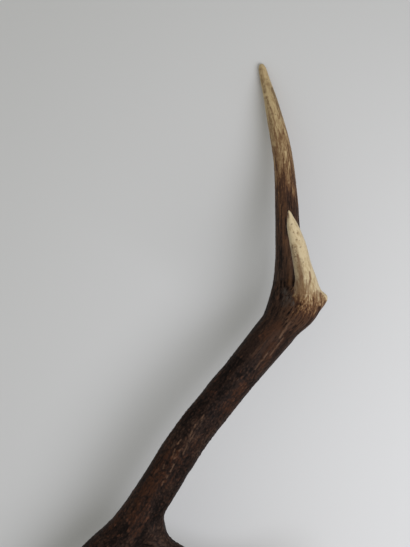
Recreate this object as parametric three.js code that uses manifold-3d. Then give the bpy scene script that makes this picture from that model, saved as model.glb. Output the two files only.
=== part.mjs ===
// A red deer's right antler, an eight-pointer without a bez tine, lying on its
// inner side: burr, brow tine, trez tine and a crown of one long and one short
// tine. It rests on three points of the plane z = 0: the burr's rim, the tip of
// the brow tine and the tip of the long crown tine. The origin is the middle of
// its footprint, +Y runs up the antler and +Z points away from the deer's head.
// Millimetres.

import * as THREE from 'three';
import { mergeVertices } from 'three/addons/utils/BufferGeometryUtils.js';
import Module from 'manifold-3d';

// Driving dimensions. A station is a point of a limb's centreline and the
// limb's radius there: [x, y, z, radius], from the root of the limb to its tip.

const LOWER_BEAM = [
  [-148.5, -334, 32.4, 22],
  [-143, -313, 33.3, 23.5],
  [-132, -277, 37, 23],
  [-119, -238, 41, 21.5],
  [-96, -187, 47, 20.5],
  [-67, -146, 53, 20],
  [-35, -109, 58.5, 20],
  [-5, -79, 62, 19],
];

const UPPER_BEAM = [
  [12, -52.5, 64, 17.2],
  [45.5, 1.5, 67, 16.5],
  [71.5, 34.5, 66.5, 16],
  [98.5, 67, 62.5, 16],
  [114, 85.5, 59, 17],
  [126.5, 101, 56, 17.4],
  [131.5, 119, 53, 15.8],
];

const LONG_TINE = [
  [133, 136, 50.5, 13],
  [134, 154.5, 47.5, 11.7],
  [133.5, 197.5, 39.5, 10.7],
  [130.5, 243, 28.5, 9],
  [124.5, 286, 17, 7.4],
  [119.5, 308, 11, 6],
  [115.5, 324, 5.2, 4.4],
  [112.5, 337, 2.6, 2.9],
  [111.8, 340, 2.1, 1],
];

const SHORT_TINE = [
  [118, 92, 57, 11],
  [134.5, 104.5, 62, 14.6],
  [144.8, 117.5, 68, 16],
  [147.5, 128, 77, 13],
  [146.8, 139, 88, 9.8],
  [142.6, 153, 101, 7.8],
  [137.9, 170, 115, 7],
  [132.5, 185, 128, 5],
  [129.5, 194.5, 136.5, 2.4],
  [128.8, 197, 138.7, 0.9],
];

// The corner on the outer side of the short tine's root.
const HEEL = [
  [141, 119, 66, 14],
  [153, 121.5, 70, 10.8],
  [162, 124.1, 72.3, 5.6],
  [165.8, 124.8, 73.3, 1.6],
];

const TREZ_TINE = [
  [4, -62, 62, 15.5],
  [8, -73.5, 62, 16.6],
  [17.5, -93, 61, 13.6],
  [40, -109.5, 59.5, 13.6],
  [66, -119, 58, 12.3],
  [99.5, -124.5, 57, 10.4],
  [133, -122.5, 57.5, 8.3],
  [159.5, -115, 59, 5.8],
  [174, -108, 61, 3],
  [176.5, -106.6, 61.4, 1],
];

const BROW_TINE = [
  [-133, -275, 37, 15],
  [-118, -279, 37.5, 18],
  [-101.5, -283.5, 37, 16.8],
  [-70.5, -296, 35, 14.2],
  [-30, -306.5, 30.5, 11.9],
  [10, -309, 24, 10],
  [46, -304, 16.5, 7.9],
  [73, -294, 7, 5.2],
  [88.5, -285.5, 2.3, 2.9],
  [91, -283.8, 1.8, 1],
];

// The burr: a rounded collar around the beam. Its middle is BURR_HEIGHT above
// the sawn base, its underside is flat in the middle, and its top slopes in to
// the beam.
const BURR_RADIUS = 33;
const BURR_WIDTH = 15;
const BURR_HEIGHT = 13;
const BURR_UNDERSIDE = 25;
const BURR_SHOULDER = 23.5;
const BURR_EDGE = 2.5;

// Where the antler is parted at its forks: a point of the cut, the way the
// parted limb leads away from it, and half the width of the cut.
const BROW_CUT = { at: [-99, -284.5, 37], towards: [0.97, -0.18, -0.15], reach: 42 };
const TREZ_CUT = { at: [31, -103.5, 60], towards: [0.95, -0.3, -0.02], reach: 54 };
const BEAM_CUT = { at: [12, -52.5, 64], towards: [0.53, 0.845, 0.05], reach: 170 };
const SHORT_CUT = { at: [147.2, 132.6, 82], towards: [-0.1, 0.74, 0.66], reach: 26 };
const LONG_CUT = { at: [133, 138, 50], towards: [-0.06, 0.97, -0.22], reach: 30 };
const GAP = 0.3;
// Longer than anything that lies beyond a cut.
const CUT_LENGTH = 620;

const BEAM_SIDES = 24;
const TINE_SIDES = 18;
const RING_SPACING = 9;
// Points closer than this are one point.
const WELD = 1e-4;

const darkAntler = { color: 0x4a3023, roughness: 0.62, metalness: 0 };
const palePoint = { color: 0xd8c9a0, roughness: 0.5, metalness: 0 };

const wasm = await Module();
wasm.setup();

function toSolid(geometry) {
  const bare = geometry.clone();
  bare.deleteAttribute('normal');
  bare.deleteAttribute('uv');
  const merged = mergeVertices(bare, WELD);
  const corners = [];
  const index = merged.index.array;
  for (let i = 0; i < index.length; i += 3) {
    const [a, b, c] = [index[i], index[i + 1], index[i + 2]];
    if (a !== b && b !== c && c !== a) corners.push(a, b, c);
  }
  return new wasm.Manifold(new wasm.Mesh({
    numProp: 3,
    vertProperties: new Float32Array(merged.attributes.position.array),
    triVerts: new Uint32Array(corners),
  }));
}

// A limb is a straight lathed taper whose rings are then laid along the
// centreline, each square to it.
function limb(stations, sides) {
  const centres = stations.map(([x, y, z]) => new THREE.Vector3(x, y, z));
  const centreline = new THREE.CatmullRomCurve3(centres, false, 'centripetal');
  const radii = stations.map((station) => new THREE.Vector3(station[3], 0, 0));
  const taper = new THREE.CatmullRomCurve3(radii, false, 'catmullrom', 0.5);

  const spans = Math.ceil(centreline.getLength() / RING_SPACING);
  const rings = [];
  for (let i = 0; i <= spans; i += 1) {
    const t = centreline.getUtoTmapping(i / spans);
    const centre = centreline.getPoint(t);
    const along = centreline.getTangent(t);
    rings.push({ centre, along, radius: taper.getPoint(t).x });
  }

  const profile = rings.map((ring, i) => new THREE.Vector2(ring.radius, i));
  profile.unshift(new THREE.Vector2(0, 0));
  profile.push(new THREE.Vector2(0, spans));
  const geometry = new THREE.LatheGeometry(profile, sides);

  const frames = carriedFrames(rings);
  const position = geometry.attributes.position;
  const vertex = new THREE.Vector3();
  for (let i = 0; i < position.count; i += 1) {
    vertex.fromBufferAttribute(position, i);
    const frame = frames[Math.round(vertex.y)];
    vertex.y = 0;
    vertex.applyMatrix4(frame);
    position.setXYZ(i, vertex.x, vertex.y, vertex.z);
  }
  return toSolid(geometry);
}

// The frame of each ring, carried from the one before it with the least turn,
// so that the limb doesn't twist. Its Y axis is the centreline's direction.
function carriedFrames(rings) {
  const turn = new THREE.Quaternion().setFromUnitVectors(new THREE.Vector3(0, 1, 0), rings[0].along);
  const noScale = new THREE.Vector3(1, 1, 1);
  let before = rings[0].along;
  return rings.map(({ centre, along }) => {
    turn.premultiply(new THREE.Quaternion().setFromUnitVectors(before, along));
    before = along;
    return new THREE.Matrix4().compose(centre, turn.clone(), noScale);
  });
}

// A collar with a rounded rim around the start of the beam.
function burr() {
  const first = new THREE.Vector3(...LOWER_BEAM[0].slice(0, 3));
  const second = new THREE.Vector3(...LOWER_BEAM[1].slice(0, 3));
  const along = second.clone().sub(first).normalize();
  const half = BURR_WIDTH / 2;
  const profile = [
    new THREE.Vector2(0, -half),
    new THREE.Vector2(BURR_UNDERSIDE, -half),
    new THREE.Vector2(BURR_RADIUS - BURR_EDGE, -half + BURR_EDGE),
    new THREE.Vector2(BURR_RADIUS, 0),
    new THREE.Vector2(BURR_RADIUS - BURR_EDGE, half - BURR_EDGE),
    new THREE.Vector2(BURR_SHOULDER, half + BURR_EDGE),
    new THREE.Vector2(0, half + BURR_EDGE),
  ];
  const collar = new THREE.LatheGeometry(profile, BEAM_SIDES);
  const turn = new THREE.Quaternion().setFromUnitVectors(new THREE.Vector3(0, 1, 0), along);
  const centre = first.addScaledVector(along, BURR_HEIGHT);
  collar.applyMatrix4(new THREE.Matrix4().compose(centre, turn, new THREE.Vector3(1, 1, 1)));
  return toSolid(collar);
}

// A block that holds everything beyond a cut, starting `clearance` past it.
function beyond(cut, clearance) {
  const along = new THREE.Vector3(...cut.towards).normalize();
  const block = new THREE.BoxGeometry(cut.reach * 2, CUT_LENGTH, cut.reach * 2);
  const turn = new THREE.Quaternion().setFromUnitVectors(new THREE.Vector3(0, 1, 0), along);
  const centre = new THREE.Vector3(...cut.at).addScaledVector(along, CUT_LENGTH / 2 + clearance);
  block.applyMatrix4(new THREE.Matrix4().compose(centre, turn, new THREE.Vector3(1, 1, 1)));
  return toSolid(block);
}

// Parts a limb from a solid, with a hair's gap between the two.
function part(solid, cut) {
  return {
    limb: solid.intersect(beyond(cut, GAP / 2)),
    rest: solid.subtract(beyond(cut, -GAP / 2)),
  };
}

function piece(name, solid, finish) {
  const { vertProperties, triVerts } = solid.getMesh();
  const geometry = new THREE.BufferGeometry();
  geometry.setAttribute('position', new THREE.BufferAttribute(new Float32Array(vertProperties), 3));
  geometry.setIndex(new THREE.BufferAttribute(new Uint32Array(triVerts), 1));
  geometry.computeVertexNormals();
  const mesh = new THREE.Mesh(geometry, new THREE.MeshStandardMaterial(finish));
  mesh.name = name;
  return mesh;
}

const stem = limb([...LOWER_BEAM, ...UPPER_BEAM, ...LONG_TINE], BEAM_SIDES);
const whole = stem
  .add(burr())
  .add(limb(BROW_TINE, TINE_SIDES))
  .add(limb(TREZ_TINE, TINE_SIDES))
  .add(limb(SHORT_TINE, TINE_SIDES))
  .add(limb(HEEL, TINE_SIDES));

const brow = part(whole, BROW_CUT);
const trez = part(brow.rest, TREZ_CUT);
const shortPoint = part(trez.rest, SHORT_CUT);
const longPoint = part(shortPoint.rest, LONG_CUT);
const beam = part(longPoint.rest, BEAM_CUT);

const antler = new THREE.Group();
antler.add(
  piece('lower_beam', beam.rest, darkAntler),
  piece('brow_tine', brow.limb, darkAntler),
  piece('trez_tine', trez.limb, darkAntler),
  piece('upper_beam', beam.limb, darkAntler),
  piece('crown_long_tine', longPoint.limb, darkAntler),
  piece('crown_short_tine', shortPoint.limb, palePoint),
);

export default antler;
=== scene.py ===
# A single red deer antler lying on its inner side: burr, brow tine, trez tine,
# beam, and a crown of one long and one short tine. It is one grown piece of
# bone, shown in the six pieces that its CAD model is parted into at the forks.
import bpy
import numpy as np
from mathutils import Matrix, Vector


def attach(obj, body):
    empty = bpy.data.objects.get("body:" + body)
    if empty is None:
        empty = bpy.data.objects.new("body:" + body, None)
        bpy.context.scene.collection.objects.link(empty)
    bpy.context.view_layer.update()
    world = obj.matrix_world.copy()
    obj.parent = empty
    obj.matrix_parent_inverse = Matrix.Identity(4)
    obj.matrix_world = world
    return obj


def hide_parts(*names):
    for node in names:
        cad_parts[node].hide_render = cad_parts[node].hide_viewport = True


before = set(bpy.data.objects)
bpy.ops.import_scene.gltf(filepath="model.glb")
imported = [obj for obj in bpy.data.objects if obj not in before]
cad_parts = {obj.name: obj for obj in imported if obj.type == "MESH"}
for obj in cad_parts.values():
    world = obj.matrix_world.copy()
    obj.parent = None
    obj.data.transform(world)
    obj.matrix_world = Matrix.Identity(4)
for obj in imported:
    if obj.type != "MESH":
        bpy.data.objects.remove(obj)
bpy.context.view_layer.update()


# ---------------------------------------------------------------- the beam
# The beam and the long crown tine are one unbroken limb of grown bone, round in
# section. Its stations run from the sawn base to the tip: x, y, z and radius.
LOWER_BEAM = [
    (-0.1493, -0.3369, 0.0323, 0.0215),
    (-0.143, -0.313, 0.0333, 0.0228),
    (-0.132, -0.277, 0.037, 0.0223),
    (-0.119, -0.238, 0.041, 0.021),
    (-0.096, -0.187, 0.047, 0.020),
    (-0.067, -0.146, 0.053, 0.0196),
    (-0.035, -0.109, 0.0585, 0.0196),
    (-0.005, -0.079, 0.062, 0.0188),
]
UPPER_BEAM = [
    (0.012, -0.0525, 0.064, 0.0171),
    (0.0455, 0.0015, 0.067, 0.0164),
    (0.0715, 0.0345, 0.0665, 0.0159),
    (0.0985, 0.067, 0.0625, 0.0159),
    (0.114, 0.0855, 0.059, 0.0168),
    (0.1265, 0.101, 0.056, 0.0173),
    (0.1315, 0.119, 0.053, 0.0158),
]
LONG_TINE = [
    (0.133, 0.136, 0.0505, 0.013),
    (0.134, 0.1545, 0.0475, 0.0117),
    (0.1335, 0.1975, 0.0395, 0.0107),
    (0.1314, 0.243, 0.0285, 0.0091),
    (0.1301, 0.2545, 0.0256, 0.0090),
    (0.1277, 0.269, 0.0219, 0.0086),
    (0.1242, 0.286, 0.017, 0.0077),
    (0.1195, 0.308, 0.011, 0.006),
    (0.1155, 0.324, 0.0052, 0.0044),
    (0.1125, 0.337, 0.0026, 0.0029),
    (0.1118, 0.340, 0.0021, 0.001),
]
STEM = LOWER_BEAM + UPPER_BEAM + LONG_TINE
STEM_SIDES = 32
RING_STEP = 0.007
# A thinner point would be lost when the surface is drawn afresh, further down.
LEAST_GROWN = 0.0022


def smooth_line(stations, step):
    """Points of a smooth line through the stations, `step` apart: x, y, z, radius."""
    points = np.array(stations)
    points = np.vstack([2 * points[0] - points[1], points, 2 * points[-1] - points[-2]])
    gaps = np.sqrt(np.linalg.norm(np.diff(points[:, :3], axis=0), axis=1))
    rows = []
    for i in range(1, len(points) - 2):
        before, start, end, after = points[i - 1:i + 3]
        a, b, c = gaps[i - 1:i + 2]
        leave = b * ((start - before) / a - (end - before) / (a + b) + (end - start) / b)
        arrive = b * ((end - start) / b - (after - start) / (b + c) + (after - end) / c)
        count = max(1, round(np.linalg.norm((end - start)[:3]) / step))
        for t in np.arange(count) / count:
            rows.append((2 * t**3 - 3 * t**2 + 1) * start + (t**3 - 2 * t**2 + t) * leave
                        + (3 * t**2 - 2 * t**3) * end + (t**3 - t**2) * arrive)
    rows.append(points[-2])
    return np.array(rows)


def directions(line):
    """The way a line runs at each of its points."""
    way = np.gradient(line[:, :3], axis=0)
    return way / np.linalg.norm(way, axis=1)[:, None]


def grow(name, stations, sides):
    """A limb: a circle at its root, extruded, turned and resized from ring to ring."""
    line = smooth_line(stations, RING_STEP)
    line[:, 3] = np.maximum(line[:, 3], LEAST_GROWN)
    ways = directions(line)
    bpy.ops.object.select_all(action="DESELECT")
    bpy.ops.mesh.primitive_circle_add(
        vertices=sides, radius=line[0, 3], fill_type="NGON", location=line[0, :3],
        rotation=Vector(ways[0]).to_track_quat("Z", "Y").to_euler())
    made = bpy.context.object
    made.name = name
    bpy.ops.object.transform_apply(location=True, rotation=True, scale=True)
    bpy.ops.object.mode_set(mode="EDIT")
    for i in range(1, len(line)):
        centre = Vector(line[i, :3])
        bpy.ops.mesh.extrude_region_move(
            TRANSFORM_OT_translate={"value": centre - Vector(line[i - 1, :3])})
        turn = Vector(ways[i - 1]).rotation_difference(Vector(ways[i])).to_euler("XYZ")
        for axis, angle in zip("XYZ", turn):
            bpy.ops.transform.rotate(value=-angle, orient_axis=axis, center_override=centre)
        size = line[i, 3] / line[i - 1, 3]
        bpy.ops.transform.resize(value=(size, size, size), center_override=centre)
    bpy.ops.mesh.select_all(action="SELECT")
    bpy.ops.mesh.normals_make_consistent(inside=False)
    bpy.ops.object.mode_set(mode="OBJECT")
    return made


limbs = [grow("stem", STEM, STEM_SIDES)]


# ---------------------------------------------------------------- the burr
# The burr is a collar of bone knobs around the foot of the beam, just above the
# sawn base. It starts as a ring, and the relief below gives it its knobs.
SAWN_AT = Vector((-0.1485, -0.334, 0.0324))
SAWN_WAY = Vector((0.25309, 0.96656, 0.04135))
BURR_HEIGHT = 0.0135
BURR_MAJOR = 0.0236
BURR_MINOR = 0.0085
BURR_SEGMENTS = 72
BURR_SIDES = 24
burr_centre = SAWN_AT + SAWN_WAY * BURR_HEIGHT
bpy.ops.object.select_all(action="DESELECT")
bpy.ops.mesh.primitive_torus_add(
    major_radius=BURR_MAJOR, minor_radius=BURR_MINOR, major_segments=BURR_SEGMENTS,
    minor_segments=BURR_SIDES, location=burr_centre,
    rotation=SAWN_WAY.to_track_quat("Z", "Y").to_euler())
bpy.ops.object.transform_apply(location=True, rotation=True, scale=True)
limbs.append(bpy.context.object)


# ---------------------------------------------------------------- the tines
# The tines are side branches of the same bone. Each starts inside the beam, with
# a wide root, curves up the antler and narrows to a blunt point.
BROW_TINE = [
    (-0.133, -0.275, 0.037, 0.015),
    (-0.118, -0.279, 0.0375, 0.018),
    (-0.1015, -0.2835, 0.037, 0.0166),
    (-0.0705, -0.296, 0.035, 0.0141),
    (-0.030, -0.3065, 0.0305, 0.0118),
    (0.010, -0.309, 0.024, 0.0099),
    (0.046, -0.304, 0.0165, 0.0079),
    (0.073, -0.294, 0.007, 0.0052),
    (0.0885, -0.2855, 0.0023, 0.0029),
    (0.091, -0.2838, 0.0018, 0.001),
]
TREZ_TINE = [
    (0.004, -0.062, 0.062, 0.0155),
    (0.008, -0.0735, 0.062, 0.0166),
    (0.0175, -0.093, 0.061, 0.0136),
    (0.040, -0.1095, 0.0595, 0.0136),
    (0.066, -0.119, 0.058, 0.0122),
    (0.0995, -0.1245, 0.057, 0.0103),
    (0.133, -0.1225, 0.0575, 0.0083),
    (0.1595, -0.115, 0.059, 0.0058),
    (0.174, -0.108, 0.061, 0.003),
    (0.1765, -0.1066, 0.0614, 0.001),
]
SHORT_TINE = [
    (0.118, 0.092, 0.057, 0.011),
    (0.1345, 0.1045, 0.062, 0.0144),
    (0.1448, 0.1175, 0.068, 0.0158),
    (0.1475, 0.128, 0.077, 0.0129),
    (0.1468, 0.139, 0.088, 0.0098),
    (0.1426, 0.153, 0.101, 0.0078),
    (0.1379, 0.170, 0.115, 0.0069),
    (0.1325, 0.185, 0.128, 0.0047),
    (0.1306, 0.191, 0.1335, 0.0029),
    (0.1293, 0.1955, 0.1372, 0.0015),
    (0.1286, 0.1982, 0.1392, 0.0005),
]
# The sharp corner on the outer side of the short tine's root.
HEEL = [
    (0.121, 0.0895, 0.060, 0.0125),
    (0.1311, 0.100, 0.0625, 0.0133),
    (0.1405, 0.110, 0.0655, 0.0133),
    (0.1515, 0.1222, 0.0695, 0.0133),
    (0.158, 0.1238, 0.0715, 0.0108),
    (0.1625, 0.1247, 0.0725, 0.0070),
    (0.1654, 0.1252, 0.0733, 0.0032),
    (0.1666, 0.1254, 0.0735, 0.0014),
]
# The straight crest from the short tine down to that corner.
CREST = [
    (0.1475, 0.1435, 0.0900, 0.0055),
    (0.1505, 0.1410, 0.0860, 0.0050),
    (0.1542, 0.1355, 0.0820, 0.0045),
    (0.1576, 0.1310, 0.0785, 0.0036),
    (0.1613, 0.1272, 0.0752, 0.0026),
    (0.1636, 0.1256, 0.0738, 0.0023),
]
TINE_SIDES = 24
TINES = {"brow": BROW_TINE, "trez": TREZ_TINE, "short": SHORT_TINE, "heel": HEEL, "crest": CREST}
for name, stations in TINES.items():
    limbs.append(grow(name, stations, TINE_SIDES))


# ---------------------------------------------------------------- one grown piece
# The limbs are one bone: they are joined, the surface is drawn afresh over all of
# them, and the crotches of the forks are filled out by smoothing.
VOXEL = 0.00175
SMOOTHING = 0.5
EVEN_PASSES = 3
FORK_PASSES = 55
LEAST_WEIGHT = 0.01
# Each crotch: its place, how far round it the smoothing reaches, and how strong it is.
FORKS = [
    ((0.013, -0.079, 0.062), 0.020, 0.5),
    ((0.024, -0.067, 0.062), 0.013, 0.9),
    ((-0.112, -0.272, 0.037), 0.022, 0.8),
    ((-0.118, -0.290, 0.037), 0.018, 0.8),
    ((0.134, 0.128, 0.066), 0.018, 0.8),
    ((0.005, -0.105, 0.060), 0.018, 0.6),
    ((0.140, 0.097, 0.057), 0.018, 0.3),
    ((0.1585, 0.1325, 0.078), 0.009, 0.25),
]
# The smoothing fades between these shares of its reach.
FADE_FROM = 0.5
FADE_TO = 1.3
bpy.ops.object.select_all(action="DESELECT")
for limb in limbs:
    limb.select_set(True)
bpy.context.view_layer.objects.active = limbs[0]
bpy.ops.object.join()
antler = bpy.context.object
antler.name = "antler"


def apply_modifier(piece, kind, **settings):
    modifier = piece.modifiers.new(kind.lower(), kind)
    for key, value in settings.items():
        setattr(modifier, key, value)
    bpy.ops.object.modifier_apply(modifier=modifier.name)


apply_modifier(antler, "REMESH", mode="VOXEL", voxel_size=VOXEL)


def vertex_places(piece):
    flat = np.empty(len(piece.data.vertices) * 3)
    piece.data.vertices.foreach_get("co", flat)
    return flat.reshape(-1, 3)


def vertex_normals(piece):
    flat = np.empty(len(piece.data.vertices) * 3)
    piece.data.vertex_normals.foreach_get("vector", flat)
    return flat.reshape(-1, 3)


def ramp(values, low, high):
    """0 below low, 1 above high, and a smooth step between them."""
    t = np.clip((values - low) / (high - low), 0, 1)
    return t * t * (3 - 2 * t)


def smooth_over(piece, name, weights, passes):
    group = piece.vertex_groups.new(name=name)
    for index in np.nonzero(weights > LEAST_WEIGHT)[0]:
        group.add([int(index)], float(weights[index]), "REPLACE")
    apply_modifier(piece, "SMOOTH", factor=SMOOTHING, iterations=passes, vertex_group=name)


places = vertex_places(antler)
crotch = np.zeros(len(places))
for place, reach, amount in FORKS:
    away = np.linalg.norm(places - np.array(place), axis=1)
    crotch = np.maximum(crotch, amount * (1 - ramp(away, reach * FADE_FROM, reach * FADE_TO)))
apply_modifier(antler, "SMOOTH", factor=SMOOTHING, iterations=EVEN_PASSES)
smooth_over(antler, "crotch", crotch, FORK_PASSES)
apply_modifier(antler, "SUBSURF", levels=1, render_levels=1)


# ---------------------------------------------------------------- the grain
# Antler grows along its length, so its grooves, ridges and pearls follow each
# limb. Each point's place is read along the stem and along the nearest tine, as
# two sideways places and a length from the root, all in millimetres.
BROW_GRAIN = [(-0.141, -0.312, 0.034, 0.02), (-0.131, -0.289, 0.0365, 0.02)] + BROW_TINE[1:]
TREZ_GRAIN = [(-0.045, -0.121, 0.057, 0.018), (-0.017, -0.097, 0.060, 0.016),
              (0.010, -0.0935, 0.061, 0.0145)] + TREZ_TINE[3:]
SHORT_GRAIN = [(0.0985, 0.067, 0.0615, 0.0158), (0.116, 0.087, 0.0595, 0.016)] + SHORT_TINE[1:]
GRAIN_STEP = 0.002
# How many points are read at a time.
BATCH = 20000
MM = 1000.0
# The two grains are blended where a point is about as deep in the stem as in a tine.
BLEND = 0.3


def grain_of(points, stations):
    """Where each point is along a limb: sideways places and length in millimetres, the
    length left to the tip, the limb's axis beside the point, its true radius there and
    how far out the point is, in radii."""
    line = smooth_line(stations, GRAIN_STEP)
    ways = directions(line)
    side = Vector(ways[0]).orthogonal().normalized()
    sides = []
    for before, way in zip(np.vstack([ways[:1], ways[:-1]]), ways):
        side = Vector(before).rotation_difference(Vector(way)) @ side
        sides.append(side.copy())
    sides = np.array(sides)
    ups = np.cross(ways, sides)
    lengths = np.concatenate([[0], np.cumsum(np.linalg.norm(np.diff(line[:, :3], axis=0), axis=1))])
    place = np.empty((len(points), 3))
    axis = np.empty((len(points), 3))
    out = np.empty(len(points))
    for start in range(0, len(points), BATCH):
        rows = slice(start, start + BATCH)
        some = points[rows]
        gaps = some[:, None, :] - line[None, :, :3]
        nearest = np.argmin(np.einsum("ijk,ijk->ij", gaps, gaps), axis=1)
        gap = some - line[nearest, :3]
        along = np.einsum("ij,ij->i", gap, ways[nearest])
        sideways = gap - along[:, None] * ways[nearest]
        place[rows, 0] = np.einsum("ij,ij->i", sideways, sides[nearest])
        place[rows, 1] = np.einsum("ij,ij->i", sideways, ups[nearest])
        place[rows, 2] = lengths[nearest] + along
        past_end = np.maximum(place[rows, 2] - lengths[-1], 0)
        axis[rows] = some - sideways - past_end[:, None] * ways[nearest]
        out[rows] = (np.linalg.norm(sideways, axis=1)
                     + np.abs(along) * (np.abs(along) > GRAIN_STEP)) / line[nearest, 3]
    radius = np.interp(place[:, 2], lengths, line[:, 3])
    to_tip = lengths[-1] - place[:, 2]
    return place * MM, to_tip * MM, axis, radius, out


places = vertex_places(antler)
stem_grain, stem_to_tip, stem_axis, stem_radius, stem_out = grain_of(places, STEM)
count = len(places)
tine_grain, tine_axis = np.zeros((count, 3)), np.zeros((count, 3))
tine_to_tip, tine_radius, tine_out = np.zeros(count), np.zeros(count), np.full(count, np.inf)
tine_number = np.zeros(count, dtype=int)
BROW, TREZ, SHORT = 0, 1, 2
for number, stations in enumerate([BROW_GRAIN, TREZ_GRAIN, SHORT_GRAIN]):
    grain, to_tip, axis, radius, out = grain_of(places, stations)
    nearer = out < tine_out
    tine_grain[nearer] = grain[nearer]
    tine_to_tip[nearer] = to_tip[nearer]
    tine_axis[nearer] = axis[nearer]
    tine_radius[nearer] = radius[nearer]
    tine_out[nearer] = out[nearer]
    tine_number[nearer] = number
on_tine = ramp(stem_out - tine_out, -BLEND, BLEND)

# Smoothing has rounded the points off, so they are brought back to their size.
# END_SHARE keeps the middle of a point's end from being pushed out to its rim.
POINT_LENGTH = 16.0
END_SHARE = 0.75
for to_tip, axis, radius, here in ((stem_to_tip, stem_axis, stem_radius, on_tine < 0.5),
                                   (tine_to_tip, tine_axis, tine_radius, on_tine >= 0.5)):
    outward = places - axis
    grown = np.maximum(radius, LEAST_GROWN)
    size = radius / np.maximum(np.linalg.norm(outward, axis=1), END_SHARE * grown)
    true_place = axis + outward * size[:, None]
    amount = (1 - ramp(to_tip, POINT_LENGTH, 2 * POINT_LENGTH)) * here
    places = places + (true_place - places) * amount[:, None]
antler.data.vertices.foreach_set("co", places.ravel())
antler.data.update()


# ---------------------------------------------------------------- the relief
# The beam is furrowed along its length, with finer grooves and rows of small
# pearls between them. Towards the crown it gets smoother and finely lined. The
# burr is a ring of knobs, and the points are rubbed smooth.
CELL_PRIMES = (73856093, 19349663, 83492791)
SEED_PRIME = 2654435761
MIXING = ((15, 2246822519), (13, 3266489917))
LAST_SHIFT = 16
LOW_32_BITS = 0xFFFFFFFF
LOW_24_BITS = 0xFFFFFF
# A pearl's middle keeps this far from the sides of its cell.
PEARL_MARGIN = 0.15
PEARL_STEEPNESS = 1.6


def scatter(cells, seed):
    """A number from 0 to 1 for each cell of a grid, the same at every run."""
    mixed = np.full(cells.shape[:-1], seed * SEED_PRIME)
    for axis, prime in enumerate(CELL_PRIMES):
        mixed = mixed ^ (cells[..., axis] * prime)
    mixed = mixed & LOW_32_BITS
    for shift, prime in MIXING:
        mixed = ((mixed ^ (mixed >> shift)) * prime) & LOW_32_BITS
    return ((mixed ^ (mixed >> LAST_SHIFT)) & LOW_24_BITS) / LOW_24_BITS


def lumps(points, size, stretch, seed):
    """Smooth random lumps from -1 to 1, `size` across and `stretch` times as long."""
    grid = points / np.array([size, size, size * stretch])
    cell = np.floor(grid).astype(np.int64)
    part = grid - cell
    part = part * part * part * (part * (part * 6 - 15) + 10)
    total = np.zeros(len(points))
    for corner in np.ndindex(2, 2, 2):
        weight = np.prod(np.where(corner, part, 1 - part), axis=1)
        total += weight * scatter(cell + np.array(corner), seed)
    return total * 2 - 1


def pearls(points, size, stretch, seed):
    """Rounded grains from 0 in the gaps to 1 at the top of each grain."""
    grid = points / np.array([size, size, size * stretch])
    cell = np.floor(grid).astype(np.int64)
    nearest = np.full(len(points), np.inf)
    second = np.full(len(points), np.inf)
    for corner in np.ndindex(3, 3, 3):
        there = cell + np.array(corner) - 1
        placed = np.stack([scatter(there, seed + axis) for axis in range(3)], axis=1)
        middle = there + PEARL_MARGIN + (1 - 2 * PEARL_MARGIN) * placed
        away = np.linalg.norm(grid - middle, axis=1)
        second = np.minimum(second, np.maximum(nearest, away))
        nearest = np.minimum(nearest, away)
    return np.clip((second - nearest) * PEARL_STEEPNESS, 0, 1)


def along_limbs(pattern, *sizes):
    """A pattern that follows the stem and the tines, blended where they meet."""
    on_stem = pattern(stem_grain, *sizes)
    return on_stem * (1 - on_tine) + pattern(tine_grain, *sizes) * on_tine


def ridges(size, stretch, seed):
    """Sharp-crested ridges from -1 in the bottoms to 1 on the crests."""
    return 1 - 2 * np.abs(along_limbs(lumps, size, stretch, seed))


# Each layer has a width in millimetres, a stretch along the limb and a seed.
broad = along_limbs(lumps, 22.0, 2.5, 11)
knobs = along_limbs(lumps, 7.0, 1.6, 83)
furrow = ridges(6.0, 7.0, 23)
groove = ridges(3.0, 4.0, 37)
strand = along_limbs(lumps, 1.9, 8.0, 53)
crown_line = ridges(3.6, 16.0, 59)
base_groove = ridges(8.0, 9.0, 97)
pearl = along_limbs(pearls, 2.2, 1.6, 41) - 0.5
base_pearl = along_limbs(pearls, 3.6, 1.5, 91) - 0.5
pearled_area = 0.55 + 0.45 * along_limbs(lumps, 18.0, 2.5, 67)

# Where the bone is rubbed bare, by the length left to each tip: all bare nearer
# than the first length, and all stained beyond the second. On the short tine the
# length is measured straight down from its tip, and slants to the heel.
BARE_LENGTHS = {BROW: (42.0, 118.0), TREZ: (32.0, 98.0), SHORT: (80.0, 107.0)}
LONG_BARE = (60.0, 146.0)
SHORT_DOWN = (0.0, -0.8, -0.6)
SHORT_SLANT = 0.45
SHORT_MIDDLE = 0.1485
LEAST_BARE = -0.9
MOST_BARE = 1.9
bare_start, bare_end = np.array([BARE_LENGTHS[number] for number in (BROW, TREZ, SHORT)])[tine_number].T
short_length = (places - np.array(SHORT_TINE[-1][:3])) @ np.array(SHORT_DOWN) * MM
short_length = short_length - SHORT_SLANT * (places[:, 0] - SHORT_MIDDLE) * MM
bare_length = np.where(tine_number == SHORT, short_length, tine_to_tip)
tine_bare = 1 - (bare_length - bare_start) / (bare_end - bare_start)
stem_bare = 1 - (stem_to_tip - LONG_BARE[0]) / (LONG_BARE[1] - LONG_BARE[0])
stem_bare = np.clip(stem_bare, LEAST_BARE, MOST_BARE)
bare = stem_bare * (1 - on_tine) + np.clip(tine_bare, LEAST_BARE, MOST_BARE) * on_tine

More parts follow.
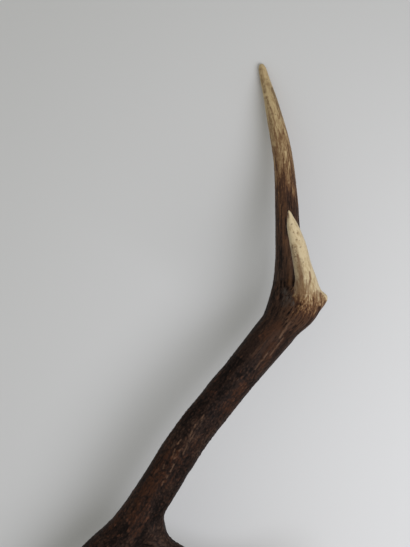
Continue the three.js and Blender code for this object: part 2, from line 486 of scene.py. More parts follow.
# The beam gets smoother towards the crown and rougher towards the base, between
# these lengths to the tip of the long tine, in millimetres.
CROWN_LENGTHS = (215.0, 295.0)
BASE_LENGTHS = (470.0, 620.0)
near_crown = np.maximum(1 - ramp(stem_to_tip, *CROWN_LENGTHS), on_tine * (tine_number == SHORT))
near_crown = np.maximum(near_crown, ramp(bare, -0.1, 0.3))
near_base = ramp(stem_to_tip, *BASE_LENGTHS) * (1 - 0.6 * ramp(bare, -0.6, 0.2))
beam_relief = (0.12 * broad + 0.24 * knobs + 0.26 * furrow + 0.20 * groove + 0.10 * strand
               + 0.72 * pearl * pearled_area + near_base * (0.34 * base_groove + 0.55 * base_pearl))
crown_relief = (0.16 * broad + 0.22 * furrow + 0.24 * crown_line + 0.14 * strand + 0.14 * pearl)
relief = beam_relief * (1 - near_crown) + crown_relief * near_crown
strength = 1 - 0.82 * ramp(bare, 0.2, 0.9)


# ---------------------------------------------------------------- single marks
# Rust-brown streaks, worn lines, dark pits and other marks of this antler are
# placed one by one. Painted shade lines on the long tine and a painted grey
# sheen on the dark beam below the crown fork are placed with them. Each is a
# kind, a width and a line of points on the upper side, seen from straight
# above, in millimetres.
SHORT_TINE_MARKS = [
    ("rust", 2.1, [(137.5, 161), (139, 156), (140, 151), (142, 145), (142.5, 139), (143.5, 133.5),
                   (144.5, 129.5)]),
    ("rust", 2.2, [(138, 139), (141, 132), (140.5, 125.5), (139, 120.5)]),
    ("rust", 1.6, [(148.5, 147.5), (149.5, 141.5), (148, 134.5), (148, 129)]),
    ("rust", 1.5, [(153.5, 129.5), (153.5, 122)]),
    ("rust", 1.7, [(140, 148), (141, 140.5), (142, 133.5), (142.5, 128)]),
    ("rust", 1.4, [(146, 140.5), (146.5, 134.5), (146, 129)]),
    ("rust", 1.5, [(156, 131), (156.5, 123)]),
    ("rust", 3, [(159.5, 128), (160.5, 122.5)]),
    ("rust", 2.4, [(152.5, 127.5), (154.5, 120.5)]),
    ("cream", 2.2, [(156.5, 134.5), (160.5, 132), (164, 128), (166.5, 124.5)]),
    ("rust", 1.8, [(128, 195), (128.5, 192)]),
    ("rust", 1.4, [(145, 126), (141, 119.5), (137, 113.5)]),
    ("rust", 1.4, [(148, 126.5), (145, 121.5)]),
    ("tanned", 5.5, [(134, 167.5), (136, 155.5), (138.5, 144.5), (140.5, 133.5)]),
    ("tanned", 3, [(140, 158), (142.5, 145), (144, 133), (143.5, 126)]),
    ("tanned", 2.2, [(148, 137), (149.5, 129)]),
    ("pit", 1, [(136.5, 179.5)]),
    ("pit", 1, [(136, 174)]),
    ("pit", 1, [(139.5, 168)]),
    ("pit", 1, [(142.5, 155.5)]),
    ("pit", 1.3, [(131.5, 186.5)]),
    ("pit", 0.9, [(133, 180)]),
    ("pit", 0.9, [(135, 168)]),
    ("pit", 0.9, [(135.5, 163.5)]),
    ("pit", 0.9, [(135.5, 160)]),
]
OTHER_MARKS = [
    # on the beam between the two crown tines and below them
    ("stained", 8, [(132, 141), (133, 133.5), (133.5, 125.5), (134, 117)]),
    ("worn", 2.1, [(134.5, 160), (135, 152.5), (135.5, 145.5), (135, 139.5), (135, 133.5)]),
    ("tanned", 2.4, [(130.5, 197), (131.5, 203.5), (132, 208.5)]),
    ("ridge", 3, [(144, 117), (139, 111.5), (134, 104.5), (128, 95.5), (124.5, 90), (118, 82),
                  (110, 72)]),
    ("worn", 1.6, [(144, 117), (139, 111.5), (134, 104.5), (128, 95.5), (124.5, 90)]),
    ("worn", 1.2, [(141, 119), (136, 112.5), (131, 104)]),
    ("worn", 1.1, [(146, 120.5), (142, 116.5)]),
    ("worn", 0.8, [(128, 90), (122.5, 83), (116.5, 75)]),
    ("worn", 1, [(114.5, 78), (109.5, 71), (103.5, 63)]),
    # a painted grey sheen: a bluish-grey reflection painted onto the dark beam
    ("painted_sheen", 6, [(129, 130.5), (131.5, 125.5), (129.5, 119.5)]),
    ("painted_sheen", 5, [(129.5, 123), (132.5, 127.5), (135, 120.5)]),
    ("warm", 6, [(132, 175.5), (133, 162.5), (134.5, 151), (134.5, 137)]),
    ("tanned", 2.6, [(132, 175.5), (133.5, 162.5), (134.5, 151), (135, 145), (134.5, 137)]),
    ("rust", 2.5, [(109.5, 78), (118, 90), (126, 99.5)]),
    ("rust", 2, [(114.5, 72.5), (125.5, 85.5), (132.5, 94)]),
    ("rust", 1.6, [(100.5, 73), (109.5, 84)]),
    # on the middle of the beam
    ("worn", 0.6, [(59, 24), (56.5, 19.5)]),
    ("worn", 0.6, [(52, 16), (51, 13.5)]),
    ("worn", 0.7, [(49, 10), (47, 6)]),
    ("worn", 0.7, [(39.5, 2.5), (36.5, -1)]),
    ("worn", 0.7, [(32, -12.5), (33, -9), (34, -5.5)]),
    ("worn", 0.8, [(50.5, 7.5), (47.5, 3), (45, -1), (43, -5.5), (41, -10)]),
    ("worn", 0.8, [(37.5, -7), (40.5, -5)]),
    ("worn", 0.8, [(35, -10), (33.5, -14)]),
    ("worn", 1, [(33.5, -18.5), (31.5, -22), (30, -25)]),
    ("worn", 0.8, [(27.5, -28.5), (27, -30.5)]),
    ("worn", 1, [(24.5, -33.5), (22.5, -37)]),
    ("worn", 0.8, [(24.5, -19.5), (24, -22.5)]),
    ("warm", 14, [(8, -69.5), (0, -75)]),
    ("warm", 9, [(27, -47.5)]),
    ("warm", 12, [(-4, -40), (-14, -58), (-22, -80)]),
    ("warm", 16, [(-1.5, -63.5), (16, -38), (30, -18)]),
    ("warm", 14, [(34, -12), (22, -30), (10, -48)]),
    ("warm", 8, [(66, 42)]),
    ("warm", 10, [(80, 29.5), (93.5, 48)]),
    ("warm", 7, [(109.5, 69), (119, 84)]),
    ("warm", 6, [(109.5, 90), (125, 101.5)]),
    # on the long tine
    ("tanned", 3.2, [(116, 306.5), (117.5, 298.5), (118.5, 290), (120.5, 279), (122, 267)]),
    ("tanned", 3.2, [(118.5, 320), (122.5, 310), (126, 299.5), (128.5, 289)]),
    ("tanned", 2.5, [(111, 334.5), (113, 324), (115, 312)]),
    ("rust", 0.9, [(119.5, 297.5), (121.5, 291.5), (123, 281.5), (122.5, 275.5)]),
    ("rust", 1.2, [(128, 292), (127.5, 287)]),
    ("rust", 1.5, [(130.5, 276.5), (131, 272.5)]),
    ("rust", 3.2, [(123, 259.5), (123, 254)]),
    ("rust", 1, [(127.5, 228.5), (127.5, 216)]),
    ("rust", 1, [(133, 223.5), (133, 213.5)]),
    ("rust", 3, [(130, 230.5), (130, 221)]),
    ("tanned", 3, [(128, 252), (128, 234), (129, 216)]),
    ("tanned", 1.4, [(130.5, 243), (130.5, 224), (130.5, 202)]),
    ("tanned", 1.3, [(125.5, 232), (126, 214), (126.5, 196)]),
    ("tanned", 1.2, [(129, 205), (129.5, 188), (129.5, 172)]),
    # painted shade: dark lines painted along the edges of the long tine
    ("shade", 2.2, [(121.5, 316), (126, 304.5), (128.5, 296), (130, 284.5)]),
    ("shade", 1.4, [(125.5, 260.5), (124, 252)]),
    ("shade", 1.6, [(130, 243.5), (131, 235.5)]),
    ("shade", 2.2, [(137.5, 244), (138.5, 231)]),
    ("shade", 1.3, [(133, 211.5), (134, 180), (134, 159.5)]),
    ("pit", 1, [(117, 324.5)]),
    ("pit", 1, [(122, 316)]),
    ("pit", 1, [(124, 290.5)]),
    ("pit", 1, [(127, 286.5)]),
    ("pit", 1, [(120.5, 291)]),
    ("worn", 1.6, [(132.5, 255.5), (131.5, 245.5)]),
    ("worn", 1.5, [(135.5, 246), (134.5, 238.5), (134.5, 227)]),
    ("worn", 1.2, [(127.5, 247.5), (127.5, 235.5)]),
    ("worn", 0.8, [(125.5, 218.5), (126, 208.5)]),
]
# A mark fades out from a quarter to three quarters of its width, but not sooner
# than this far from its line, so that the mesh can hold it.
FULL_WIDTH = 0.25
FADED_WIDTH = 0.75
LEAST_REACH = 0.9
# Marks of the beam stay off the free part of the short tine above them.
SHORT_FREE = 80.0
plan = places[:, :2] * MM
upper_side = ramp(vertex_normals(antler)[:, 2], -0.1, 0.15)
on_short = (tine_number == SHORT) & (on_tine > 0.5)
beside_short = ~(on_short & (short_length < SHORT_FREE))
ragged = 0.75 + 0.5 * strand


def marked(kind):
    """How much each point lies on the marks of a kind, from 0 to 1."""
    total = np.zeros(count)
    for marks, area in ((SHORT_TINE_MARKS, on_short), (OTHER_MARKS, beside_short)):
        for name, width, points in marks:
            if name != kind:
                continue
            points = np.array(points)
            reach = max(FADED_WIDTH * width, LEAST_REACH)
            low, high = points.min(axis=0) - reach, points.max(axis=0) + reach
            near = np.nonzero(((plan > low) & (plan < high)).all(axis=1) & area)[0]
            some = plan[near]
            away = np.linalg.norm(some - points[0], axis=1)
            for start, end in zip(points[:-1], points[1:]):
                span = end - start
                share = np.clip((some - start) @ span / (span @ span), 0, 1)
                away = np.minimum(away, np.linalg.norm(some - start - share[:, None] * span, axis=1))
            total[near] = np.maximum(total[near], 1 - ramp(away, FULL_WIDTH * width, reach))
    return total * upper_side


RIDGE_HEIGHT = 0.75
MARK_DEPTH = 0.15
rust = np.clip(marked("rust") * ragged, 0, 1)
worn = np.clip(marked("worn") * ragged * 1.1, 0, 1)
# The dark pits and the painted shade lines along the long tine's edges are read together.
shade = np.clip(np.maximum(marked("pit"), marked("shade") * ragged * 0.8), 0, 1)
warm = marked("warm")
painted_sheen = marked("painted_sheen") * ragged
tanned = marked("tanned") * ragged
thin = 0.65 * ramp(bare, LEAST_BARE, 0.0) + 0.35 * near_crown
bare = bare + 1.3 * marked("cream") - marked("stained") * (0.5 + 0.6 * strand)

# The burr's knobs lie between these heights over the sawn base, in millimetres.
KNOB_WIDTH = 7.5
KNOB_HEIGHT = 2.4
KNOBS_BEGIN = (1.0, 6.0)
KNOBS_END = (20.0, 30.0)
SAWN_EDGE = 3.0
base_height = (places - np.array(SAWN_AT)) @ np.array(SAWN_WAY) * MM
burr_knob = pearls(stem_grain, KNOB_WIDTH, 1.2, 71) - 0.5
at_burr = ramp(base_height, *KNOBS_BEGIN) * (1 - ramp(base_height, *KNOBS_END))
out_mm = relief * strength + RIDGE_HEIGHT * marked("ridge")
out_mm = out_mm + MARK_DEPTH * (worn * (1 - ramp(bare, 0.2, 0.5)) - shade)
out_mm = out_mm * ramp(base_height, 0.0, SAWN_EDGE) + KNOB_HEIGHT * burr_knob * at_burr
places = places + vertex_normals(antler) * (out_mm / MM)[:, None]
places[:, 2] = np.maximum(places[:, 2], 0.0)
antler.data.vertices.foreach_set("co", places.ravel())
antler.data.update()
height = np.clip(0.5 + 0.5 * relief / 0.9 + 0.25 * burr_knob * at_burr, 0, 1)


def remember(piece, name, values):
    kind, field = ("FLOAT_VECTOR", "vector") if values.ndim == 2 else ("FLOAT", "value")
    made = piece.data.attributes.new(name, kind, "POINT")
    made.data.foreach_set(field, values.astype(np.float32).ravel())


READINGS = {"height": height, "bare": bare, "rust": rust, "worn": worn, "shade": shade, "warm": warm,
            "thin": thin, "painted_sheen": painted_sheen, "tanned": tanned, "lined": near_crown}
remember(antler, "stem_grain", stem_grain)
remember(antler, "tine_grain", tine_grain)
remember(antler, "on_tine", on_tine)
for name, values in READINGS.items():
    remember(antler, name, values)


# ---------------------------------------------------------------- the finish
# Antler is bone stained dark brown by bark and soil. The stain is black in the
# grooves, brown on the ridges and worn through to cream bone at the points.
def new_group(name, inputs, outputs):
    tree = bpy.data.node_groups.new(name, "ShaderNodeTree")
    for socket, kind, default in inputs:
        made = tree.interface.new_socket(name=socket, in_out="INPUT", socket_type=kind)
        made.default_value = default
    for socket, kind in outputs:
        tree.interface.new_socket(name=socket, in_out="OUTPUT", socket_type=kind)
    return tree, tree.nodes.new("NodeGroupInput"), tree.nodes.new("NodeGroupOutput")


def node(tree, kind, inputs=(), **settings):
    made = tree.nodes.new(kind)
    for key, value in settings.items():
        setattr(made, key, value)
    for key, value in dict(inputs).items():
        if isinstance(value, bpy.types.NodeSocket):
            tree.links.new(value, made.inputs[key])
        else:
            made.inputs[key].default_value = value
    return made


def mix_colours(tree, amount, first, second):
    made = node(tree, "ShaderNodeMix", data_type="RGBA", blend_type="MIX")
    for socket, value in ((made.inputs[0], amount), (made.inputs[6], first), (made.inputs[7], second)):
        if isinstance(value, bpy.types.NodeSocket):
            tree.links.new(value, socket)
        else:
            socket.default_value = value
    return made.outputs[2]


def step(tree, value, low, high):
    made = node(tree, "ShaderNodeMapRange", {"Value": value, "From Min": low, "From Max": high},
                interpolation_type="SMOOTHSTEP")
    return made.outputs["Result"]


def calculate(tree, operation, first, second):
    return node(tree, "ShaderNodeMath", {0: first, 1: second}, operation=operation).outputs[0]


def plus(tree, first, second):
    return calculate(tree, "ADD", first, second)


def minus(tree, first, second):
    return calculate(tree, "SUBTRACT", first, second)


def times(tree, first, second):
    return calculate(tree, "MULTIPLY", first, second)


def attribute(tree, name):
    return node(tree, "ShaderNodeAttribute", attribute_name=name)


def limb_pattern(name, kind, output, inputs):
    """Noise or grains that are stretched along whichever limb the point is on."""
    group, given, result = new_group(
        name,
        [("Width", "NodeSocketFloat", 3.0), ("Stretch", "NodeSocketFloat", 6.0),
         ("Shift", "NodeSocketFloat", 0.0)],
        [("Value", "NodeSocketFloat")])
    width = given.outputs["Width"]
    length = times(group, width, given.outputs["Stretch"])
    readings = []
    for grain_name in ("stem_grain", "tine_grain"):
        place = attribute(group, grain_name).outputs["Vector"]
        split = node(group, "ShaderNodeSeparateXYZ", {"Vector": place})
        across = plus(group, calculate(group, "DIVIDE", split.outputs["X"], width), given.outputs["Shift"])
        scaled = node(group, "ShaderNodeCombineXYZ", {
            "X": across,
            "Y": calculate(group, "DIVIDE", split.outputs["Y"], width),
            "Z": calculate(group, "DIVIDE", split.outputs["Z"], length)})
        made = node(group, kind, {"Vector": scaled.outputs["Vector"], "Scale": 1.0, **inputs})
        readings.append(made.outputs[output])
    on_tine_here = attribute(group, "on_tine").outputs["Fac"]
    blend = node(group, "ShaderNodeMix", {"Factor": on_tine_here, "A": readings[0], "B": readings[1]},
                 data_type="FLOAT")
    group.links.new(blend.outputs[0], result.inputs["Value"])
    return group


limb_noise = limb_pattern("noise along the limb", "ShaderNodeTexNoise", "Fac",
                          {"Detail": 5.0, "Roughness": 0.62})
limb_grains = limb_pattern("grains along the limb", "ShaderNodeTexVoronoi", "Distance", {})


def pattern(tree, group, width, stretch, shift):
    made = node(tree, "ShaderNodeGroup", {"Width": width, "Stretch": stretch, "Shift": shift},
                node_tree=group)
    return made.outputs["Value"]


def swing(tree, value, amount):
    """A noise value swung around zero."""
    return times(tree, minus(tree, value, 0.5), amount)


BLACK_STAIN = (0.0058, 0.0037, 0.0030, 1)
DARK_STAIN = (0.0175, 0.0098, 0.0074, 1)
RED_STAIN = (0.040, 0.0165, 0.0090, 1)
RED_GRAIN = (0.085, 0.036, 0.021, 1)
# The grey of the painted sheen by the crown fork.
PAINTED_GREY_SHEEN = (0.080, 0.066, 0.056, 1)
BROWN_STAIN = (0.045, 0.026, 0.0175, 1)
THIN_STAIN = (0.085, 0.044, 0.026, 1)
WORN_STAIN = (0.150, 0.085, 0.052, 1)
RUST = (0.135, 0.064, 0.029, 1)
DARK_RUST = (0.052, 0.024, 0.014, 1)
UMBER = (0.085, 0.047, 0.024, 1)
BROWN_RIND = (0.150, 0.085, 0.038, 1)
CREAM_BONE = (0.53, 0.43, 0.265, 1)
STRAW_BONE = (0.36, 0.265, 0.140, 1)
TAN_BONE = (0.255, 0.158, 0.078, 1)
GOLDEN_BONE = (0.52, 0.395, 0.215, 1)
BROWN_BONE = (0.34, 0.230, 0.115, 1)

finish_group, given, result = new_group(
    "antler finish",
    [("Bare Colour", "NodeSocketColor", CREAM_BONE), ("Second Bare Colour", "NodeSocketColor", STRAW_BONE)],
    [("Colour", "NodeSocketColor"), ("Roughness", "NodeSocketFloat"), ("Height", "NodeSocketFloat")])
tree = finish_group
read = {name: attribute(tree, name).outputs["Fac"] for name in READINGS}
fine = pattern(tree, limb_noise, 1.2, 2.5, 0.0)
medium = pattern(tree, limb_noise, 2.4, 3.0, 13.0)
streak = pattern(tree, limb_noise, 1.7, 14.0, 19.0)
thread = pattern(tree, limb_noise, 0.8, 20.0, 23.0)
large = pattern(tree, limb_noise, 16.0, 3.0, 29.0)
dots = pattern(tree, limb_grains, 1.9, 1.4, 5.0)
specks = pattern(tree, limb_grains, 4.2, 1.3, 7.0)

# The stain's level, from the bottoms of the grooves to the tops of the ridges. It
# is streaked where the antler is finely lined, and dotted where it is pearled.
lined = plus(tree, times(tree, read["lined"], 0.7), times(tree, read["thin"], 1.4))
lined = plus(tree, lined, 0.35)
pearled = minus(tree, 1.0, times(tree, read["lined"], 0.7))
level = plus(tree, read["height"], swing(tree, fine, 0.8))
level = plus(tree, level, swing(tree, medium, 0.34))
level = plus(tree, level, times(tree, swing(tree, streak, 0.9), lined))
level = plus(tree, level, times(tree, swing(tree, thread, 0.8), lined))
level = minus(tree, level, times(tree, swing(tree, dots, 0.5), pearled))
level = plus(tree, level, times(tree, read["warm"], 0.13))
level = plus(tree, level, times(tree, read["thin"], 0.12))

# The stain's colours by level, and the marks in it.
warmth = plus(tree, large, times(tree, read["warm"], 0.25))
ridge_brown = mix_colours(tree, step(tree, warmth, 0.46, 0.66), BROWN_STAIN, RED_STAIN)
stain = mix_colours(tree, step(tree, level, 0.30, 0.60), BLACK_STAIN, DARK_STAIN)
stain = mix_colours(tree, step(tree, level, 0.58, 0.92), stain, ridge_brown)
stain = mix_colours(tree, times(tree, step(tree, level, 1.02, 1.22), 0.4), stain, WORN_STAIN)
stain = mix_colours(tree, times(tree, read["thin"], step(tree, level, 0.35, 0.95)), stain, THIN_STAIN)
red_grain = times(tree, step(tree, specks, 0.42, 0.22), step(tree, medium, 0.48, 0.60))
red_grain = times(tree, red_grain, plus(tree, 0.45, times(tree, read["warm"], 0.35)))
stain = mix_colours(tree, red_grain, stain, RED_GRAIN)
stain = mix_colours(tree, times(tree, read["tanned"], 0.85), stain, RUST)
# A painted grey sheen, in streaks, lightens the dark stain by the crown fork.
painted_sheen_here = times(tree, read["painted_sheen"], step(tree, streak, 0.40, 0.58))
stain = mix_colours(tree, times(tree, painted_sheen_here, 0.8), stain, PAINTED_GREY_SHEEN)
stain = mix_colours(tree, times(tree, read["rust"], 0.8), stain, DARK_RUST)
worn_here = times(tree, read["worn"], times(tree, step(tree, fine, 0.36, 0.54), 0.75))
stain = mix_colours(tree, worn_here, stain, WORN_STAIN)
# The pits and the painted shade lines go black in the stain.
stain = mix_colours(tree, read["shade"], stain, BLACK_STAIN)

# The bare bone of the points, mottled, with a few dark pits and the painted shade lines.
bone = mix_colours(tree, step(tree, plus(tree, medium, swing(tree, large, 0.6)), 0.44, 0.70),
                   given.outputs["Bare Colour"], given.outputs["Second Bare Colour"])
bone = mix_colours(tree, times(tree, step(tree, fine, 0.54, 0.76), 0.5), bone, TAN_BONE)
bone = mix_colours(tree, times(tree, step(tree, thread, 0.54, 0.70), 0.45), bone, TAN_BONE)
tanned_here = times(tree, read["tanned"], plus(tree, 0.25, step(tree, thread, 0.38, 0.60)))
bone = mix_colours(tree, times(tree, tanned_here, 0.65), bone, BROWN_RIND)
mottled = times(tree, read["tanned"], step(tree, dots, 0.50, 0.22))
bone = mix_colours(tree, times(tree, mottled, 0.65), bone, BROWN_RIND)
bone = mix_colours(tree, minus(tree, 0.7, step(tree, specks, 0.05, 0.12)), bone, UMBER)
bone = mix_colours(tree, read["rust"], bone, RUST)
bone = mix_colours(tree, times(tree, read["shade"], 0.8), bone, UMBER)

# Wear goes through the stain in streaks, by way of dark rust, rust and tan. Each
# colour comes in between two levels of wear.
WEAR_COLOURS = [(-0.35, 0.25, DARK_RUST), (0.05, 0.55, RUST), (0.32, 0.85, TAN_BONE), (0.60, 1.20, bone)]
wear = plus(tree, read["bare"], swing(tree, streak, 1.7))
wear = plus(tree, wear, swing(tree, thread, 2.0))
wear = plus(tree, wear, swing(tree, fine, 0.9))
wear = plus(tree, wear, swing(tree, read["height"], 0.35))
wear = plus(tree, wear, times(tree, read["worn"], 0.35))
wear = minus(tree, wear, times(tree, read["rust"], 0.25))
colour = stain
for low, high, next_colour in WEAR_COLOURS:
    colour = mix_colours(tree, step(tree, wear, low, high), colour, next_colour)
tree.links.new(colour, result.inputs["Colour"])

# Ridges are a little glossier than grooves, and bare points glossier and smoother.
rubbed = step(tree, wear, 0.45, 0.9)
rough = minus(tree, 0.62, times(tree, read["height"], 0.16))
rough = minus(tree, rough, times(tree, rubbed, 0.08))
tree.links.new(rough, result.inputs["Roughness"])
bumps = plus(tree, times(tree, fine, 0.5), times(tree, medium, 0.5))
bumps = minus(tree, bumps, times(tree, dots, 0.6))
bumps = times(tree, bumps, minus(tree, 1.0, times(tree, rubbed, 0.7)))
tree.links.new(bumps, result.inputs["Height"])

BUMP_STRENGTH = 0.7
BUMP_DEPTH = 0.0006


def antler_material(name, bare_colour, second_colour, shine):
    material = bpy.data.materials.new(name)
    material.use_nodes = True
    tree = material.node_tree
    shader = tree.nodes["Principled BSDF"]
    finish = node(tree, "ShaderNodeGroup", node_tree=finish_group)
    finish.inputs["Bare Colour"].default_value = bare_colour
    finish.inputs["Second Bare Colour"].default_value = second_colour
    bumped = node(tree, "ShaderNodeBump", {"Height": finish.outputs["Height"], "Strength": BUMP_STRENGTH,
                                           "Distance": BUMP_DEPTH})
    tree.links.new(finish.outputs["Colour"], shader.inputs["Base Color"])
    tree.links.new(finish.outputs["Roughness"], shader.inputs["Roughness"])
    tree.links.new(bumped.outputs["Normal"], shader.inputs["Normal"])
    shader.inputs["Specular IOR Level"].default_value = shine
    return material


beam_material = antler_material("stained antler", CREAM_BONE, STRAW_BONE, 0.05)
long_material = antler_material("long point", GOLDEN_BONE, BROWN_BONE, 0.12)
short_material = antler_material("pale point", CREAM_BONE, STRAW_BONE, 0.15)


# ---------------------------------------------------------------- the sawn base
# The sawn base is bare bone: a dense ring around a spongy middle, with faint saw
# lines across both. Its pores are of two sizes and lie in the spongy middle.
SAWN_BONE = (0.50, 0.41, 0.29, 1)
OLD_BONE = (0.36, 0.26, 0.155, 1)
SPONGE = (0.150, 0.095, 0.055, 1)
SAWN_ROUGHNESS = 0.75
SPONGE_MIDDLE = SAWN_AT + Vector((0.002, 0.002, 0.002))
SPONGE_FROM = 0.0165
SPONGE_TO = 0.0095
PATCHES_PER_METRE = 130.0
PATCH_SHAKE = 0.004
PORES_PER_METRE = 620.0
SMALL_PORES_PER_METRE = 1500.0
SAW_LINES_PER_METRE = 900.0
SAW_LINE_STRETCH = (1.0, 0.25, 0.05)
PORE_DEPTH = 0.0008


def vector_step(tree, operation, first, inputs):
    return node(tree, "ShaderNodeVectorMath", {0: first, **inputs}, operation=operation).outputs


sawn_material = bpy.data.materials.new("sawn antler")
sawn_material.use_nodes = True
tree = sawn_material.node_tree
here = node(tree, "ShaderNodeTexCoord").outputs["Object"]
patches = node(tree, "ShaderNodeTexNoise", {"Vector": here, "Scale": PATCHES_PER_METRE, "Detail": 4.0})
wobble = vector_step(tree, "SCALE", patches.outputs["Color"], {"Scale": PATCH_SHAKE})["Vector"]
shaken = vector_step(tree, "ADD", here, {1: wobble})["Vector"]
middle = step(tree, vector_step(tree, "DISTANCE", shaken, {1: SPONGE_MIDDLE})["Value"],
              SPONGE_FROM, SPONGE_TO)
holes = []
for scale, low, high in ((PORES_PER_METRE, 0.10, 0.42), (SMALL_PORES_PER_METRE, 0.12, 0.40)):
    pores = node(tree, "ShaderNodeTexVoronoi", {"Vector": shaken, "Scale": scale}).outputs["Distance"]
    holes.append(minus(tree, 1.0, step(tree, pores, low, high)))
hole = times(tree, calculate(tree, "MAXIMUM", holes[0], times(tree, holes[1], 0.6)), middle)
stretched = vector_step(tree, "MULTIPLY", here, {1: SAW_LINE_STRETCH})["Vector"]
saw_lines = node(tree, "ShaderNodeTexNoise", {
    "Vector": stretched, "Scale": SAW_LINES_PER_METRE, "Detail": 2.0}).outputs["Fac"]
sawn_colour = mix_colours(tree, step(tree, patches.outputs["Fac"], 0.45, 0.75), SAWN_BONE, OLD_BONE)
sawn_colour = mix_colours(tree, times(tree, middle, 0.4), sawn_colour, SPONGE)
sawn_colour = mix_colours(tree, times(tree, step(tree, saw_lines, 0.5, 0.75), 0.3), sawn_colour, OLD_BONE)
sawn_colour = mix_colours(tree, times(tree, hole, 0.85), sawn_colour, SPONGE)
sawn_height = minus(tree, times(tree, saw_lines, 0.25), hole)
sawn_bump = node(tree, "ShaderNodeBump", {"Height": sawn_height, "Distance": PORE_DEPTH, "Strength": 0.8})
sawn_shader = tree.nodes["Principled BSDF"]
tree.links.new(sawn_colour, sawn_shader.inputs["Base Color"])
tree.links.new(sawn_bump.outputs["Normal"], sawn_shader.inputs["Normal"])
sawn_shader.inputs["Roughness"].default_value = SAWN_ROUGHNESS


# ---------------------------------------------------------------- parting at the forks
# The base is sawn flat. The limbs are cut off one by one along the planes that part
# the CAD model, every cut is closed, and what is left is the lower beam. A cut is a
# point of its plane, the way the limb leads from it, and half its width.
CUTS = {
    "brow_tine": ((-0.099, -0.2845, 0.037), (0.97, -0.18, -0.15), 0.045),
    "trez_tine": ((0.031, -0.1035, 0.060), (0.95, -0.3, -0.02), 0.057),
    "crown_short_tine": ((0.1472, 0.1326, 0.082), (-0.1, 0.74, 0.66), 0.029),
    "crown_long_tine": ((0.133, 0.138, 0.050), (-0.06, 0.97, -0.22), 0.033),
    "upper_beam": ((0.012, -0.0525, 0.064), (0.53, 0.845, 0.05), 0.170),
}
MATERIALS = {"crown_short_tine": short_material, "crown_long_tine": long_material}
# The faces this near to a cut, in metres, are cut along with those beyond it.
CUT_MARGIN = 0.004
# Edges that turn by more than this, in radians, stay hard, such as the cuts' rims.
EDGE_ANGLE = 1.05


def beyond(piece, at, way, reach):
    """Which vertices are in the block beyond a cut, or just before it."""
    turn = Vector(way).normalized().to_track_quat("Y", "Z").inverted()
    local = (vertex_places(piece) - np.array(at)) @ np.array(turn.to_matrix()).T
    return (local[:, 1] > -CUT_MARGIN) & (np.abs(local[:, 0]) < reach) & (np.abs(local[:, 2]) < reach)


def select_vertices(piece, chosen):
    """Selects these vertices, and the edges and faces all of whose vertices are chosen."""
    bpy.ops.object.select_all(action="DESELECT")
    piece.select_set(True)
    bpy.context.view_layer.objects.active = piece
    piece.data.vertices.foreach_set("select", chosen)
    ends = np.empty(len(piece.data.edges) * 2, dtype=int)
    piece.data.edges.foreach_get("vertices", ends)
    piece.data.edges.foreach_set("select", chosen[ends.reshape(-1, 2)].all(axis=1))
    corners = np.empty(len(piece.data.loops), dtype=int)
    piece.data.loops.foreach_get("vertex_index", corners)
    starts = np.empty(len(piece.data.polygons), dtype=int)
    piece.data.polygons.foreach_get("loop_start", starts)
    piece.data.polygons.foreach_set("select", np.logical_and.reduceat(chosen[corners], starts))


def cut_off(piece, at, way, keep_far_side):
    """Cuts the selected faces along a plane, takes one side away and closes the cut."""
    bpy.ops.object.mode_set(mode="EDIT")
    bpy.ops.mesh.select_mode(type="FACE")
    bpy.ops.mesh.bisect(plane_co=at, plane_no=Vector(way).normalized(), use_fill=True,
                        clear_inner=keep_far_side, clear_outer=not keep_far_side)
    bpy.ops.object.mode_set(mode="OBJECT")


def finish_piece(piece, name):
    bpy.ops.object.select_all(action="DESELECT")
    piece.select_set(True)
    bpy.context.view_layer.objects.active = piece
    bpy.ops.object.shade_smooth_by_angle(angle=EDGE_ANGLE)
    piece.name = name + "_bone"
    piece.data.materials[0] = MATERIALS.get(name, beam_material)
    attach(piece, "root")
    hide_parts(name)


select_vertices(antler, np.ones(len(antler.data.vertices), dtype=bool))
antler.data.materials.append(beam_material)
antler.data.materials.append(sawn_material)
cut_off(antler, SAWN_AT, SAWN_WAY, True)
chosen = np.empty(len(antler.data.polygons), dtype=bool)
antler.data.polygons.foreach_get("select", chosen)
for index in np.nonzero(chosen)[0]:
    antler.data.polygons[int(index)].material_index = 1

for name, (at, way, reach) in CUTS.items():
    inside = beyond(antler, at, way, reach)
    piece = antler.copy()
    piece.data = antler.data.copy()
    bpy.context.collection.objects.link(piece)
    select_vertices(piece, ~inside)
    bpy.ops.object.mode_set(mode="EDIT")
    bpy.ops.mesh.select_mode(type="VERT")
    bpy.ops.mesh.delete(type="VERT")
    bpy.ops.mesh.select_all(action="SELECT")
    bpy.ops.object.mode_set(mode="OBJECT")
    cut_off(piece, at, way, True)
    select_vertices(antler, inside)
    cut_off(antler, at, way, False)
    finish_piece(piece, name)
finish_piece(antler, "lower_beam")


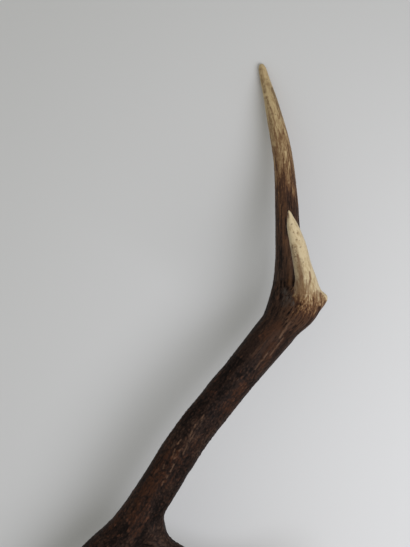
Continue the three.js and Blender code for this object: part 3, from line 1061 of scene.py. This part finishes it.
# ---------------------------------------------------------------- the studio
# A pale matt floor under one large soft light from the right, and soft light
# from all round. The camera looks straight down.
FLOOR_SIZE = 60.0
FLOOR_BELOW = 0.0002
FLOOR_GREY = (0.62, 0.62, 0.62, 1)
FLOOR_ROUGHNESS = 0.9
FLOOR_SHINE = 0.1
bpy.ops.object.select_all(action="DESELECT")
bpy.ops.mesh.primitive_plane_add(size=FLOOR_SIZE, location=(0, 0, -FLOOR_BELOW))
floor = bpy.context.object
floor.name = "floor"
floor_material = bpy.data.materials.new("pale floor")
floor_material.use_nodes = True
floor_shader = floor_material.node_tree.nodes["Principled BSDF"]
floor_shader.inputs["Base Color"].default_value = FLOOR_GREY
floor_shader.inputs["Roughness"].default_value = FLOOR_ROUGHNESS
floor_shader.inputs["Specular IOR Level"].default_value = FLOOR_SHINE
floor.data.materials.append(floor_material)

ROOM_COLOUR = (1.0, 1.0, 0.94, 1)
ROOM_STRENGTH = 0.50
world = bpy.data.worlds.new("soft room")
world.use_nodes = True
room = world.node_tree.nodes["Background"]
room.inputs["Color"].default_value = ROOM_COLOUR
room.inputs["Strength"].default_value = ROOM_STRENGTH
bpy.context.scene.world = world

LIGHT_AT = Vector((0.514, -0.089, 0.713))
LIGHT_AIM = Vector((0.25, -0.35, 0.0))
LIGHT_SIZE = 0.72
LIGHT_WATTS = 5.2
LIGHT_COLOUR = (0.98, 0.99, 1.06)
bpy.ops.object.light_add(type="AREA", location=LIGHT_AT)
light = bpy.context.object
light.data.shape = "DISK"
light.data.size = LIGHT_SIZE
light.data.energy = LIGHT_WATTS
light.data.color = LIGHT_COLOUR
light.visible_camera = False
light.rotation_euler = (LIGHT_AT - LIGHT_AIM).to_track_quat("Z", "Y").to_euler()

LOOK_AT = (0.060, 0.146)
CAMERA_HEIGHT = 1.204
FOCAL_PIXELS = 1300.0
FRAME_HEIGHT = 547.0
SENSOR_WIDTH = 36.0
bpy.ops.object.camera_add(location=(*LOOK_AT, CAMERA_HEIGHT), rotation=(0, 0, 0))
camera = bpy.context.object
camera.data.sensor_fit = "AUTO"
camera.data.sensor_width = SENSOR_WIDTH
camera.data.lens = FOCAL_PIXELS / FRAME_HEIGHT * SENSOR_WIDTH
bpy.context.scene.camera = camera
bpy.context.scene.view_settings.view_transform = "Standard"
